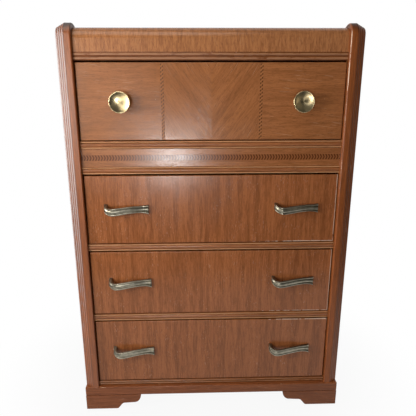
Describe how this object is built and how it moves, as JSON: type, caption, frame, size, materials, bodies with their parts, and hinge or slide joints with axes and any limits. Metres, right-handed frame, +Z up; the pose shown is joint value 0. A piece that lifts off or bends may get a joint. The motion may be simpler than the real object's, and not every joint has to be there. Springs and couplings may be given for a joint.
{
  "type": "waterfall chest of drawers",
  "caption": "Tall wooden chest of drawers with a rolled waterfall top, reeded corner posts, beaded rails, rope inlay, dished brass knobs, strap pulls and a bracket plinth.",
  "frame": {"origin": "on the floor, under the middle of the chest's bounding box", "axes": "+Z up, front of the chest towards -Y, +X to the right as seen from the front"},
  "size_m": [0.816, 0.475, 1.1715],
  "materials": {
    "case_wood": "mid-brown varnished hardwood with a worn satin sheen",
    "face_veneer": "figured walnut veneer under old satin varnish",
    "inlay_banding": "twisted rope banding in light and dark wood",
    "box_wood": "plain unvarnished secondary wood",
    "aged_brass": "tarnished brass worn bright on its edges"
  },
  "bodies": {
    "case": {"left_post": "case_wood", "right_post": "case_wood", "left_side_panel": "case_wood", "right_side_panel": "case_wood", "back_panel": "box_wood", "waterfall_top": "face_veneer", "top_moulding": "case_wood", "upper_rail": "case_wood", "frieze_board": "face_veneer", "frieze_inlay": "inlay_banding", "frieze_rail": "case_wood", "middle_rail": "case_wood", "lower_rail": "case_wood", "bottom_rail": "case_wood", "drawer_1_left_runner": "box_wood", "drawer_1_right_runner": "box_wood", "drawer_2_left_runner": "box_wood", "drawer_2_right_runner": "box_wood", "drawer_3_left_runner": "box_wood", "drawer_3_right_runner": "box_wood", "drawer_4_left_runner": "box_wood", "drawer_4_right_runner": "box_wood", "plinth_front": "case_wood", "plinth_left": "case_wood", "plinth_right": "case_wood", "plinth_back": "box_wood", "front_left_foot": "case_wood", "front_right_foot": "case_wood", "rear_left_foot": "case_wood", "rear_right_foot": "case_wood"},
    "drawer_1": {"drawer_1_front": "face_veneer", "drawer_1_left_side": "box_wood", "drawer_1_right_side": "box_wood", "drawer_1_back": "box_wood", "drawer_1_bottom": "box_wood", "drawer_1_left_inlay": "inlay_banding", "drawer_1_right_inlay": "inlay_banding", "drawer_1_left_knob": "aged_brass", "drawer_1_right_knob": "aged_brass"},
    "drawer_2": {"drawer_2_front": "face_veneer", "drawer_2_left_side": "box_wood", "drawer_2_right_side": "box_wood", "drawer_2_back": "box_wood", "drawer_2_bottom": "box_wood", "drawer_2_left_pull": "aged_brass", "drawer_2_right_pull": "aged_brass"},
    "drawer_3": {"drawer_3_front": "face_veneer", "drawer_3_left_side": "box_wood", "drawer_3_right_side": "box_wood", "drawer_3_back": "box_wood", "drawer_3_bottom": "box_wood", "drawer_3_left_pull": "aged_brass", "drawer_3_right_pull": "aged_brass"},
    "drawer_4": {"drawer_4_front": "face_veneer", "drawer_4_left_side": "box_wood", "drawer_4_right_side": "box_wood", "drawer_4_back": "box_wood", "drawer_4_bottom": "box_wood", "drawer_4_left_pull": "aged_brass", "drawer_4_right_pull": "aged_brass"}
  },
  "joints": [
    {"name": "drawer_1_slide", "type": "slide", "parent": "case", "child": "drawer_1", "axis": [0, -1, 0], "range_m": [0, 0.3]},
    {"name": "drawer_2_slide", "type": "slide", "parent": "case", "child": "drawer_2", "axis": [0, -1, 0], "range_m": [0, 0.3]},
    {"name": "drawer_3_slide", "type": "slide", "parent": "case", "child": "drawer_3", "axis": [0, -1, 0], "range_m": [0, 0.3]},
    {"name": "drawer_4_slide", "type": "slide", "parent": "case", "child": "drawer_4", "axis": [0, -1, 0], "range_m": [0, 0.3]}
  ]
}
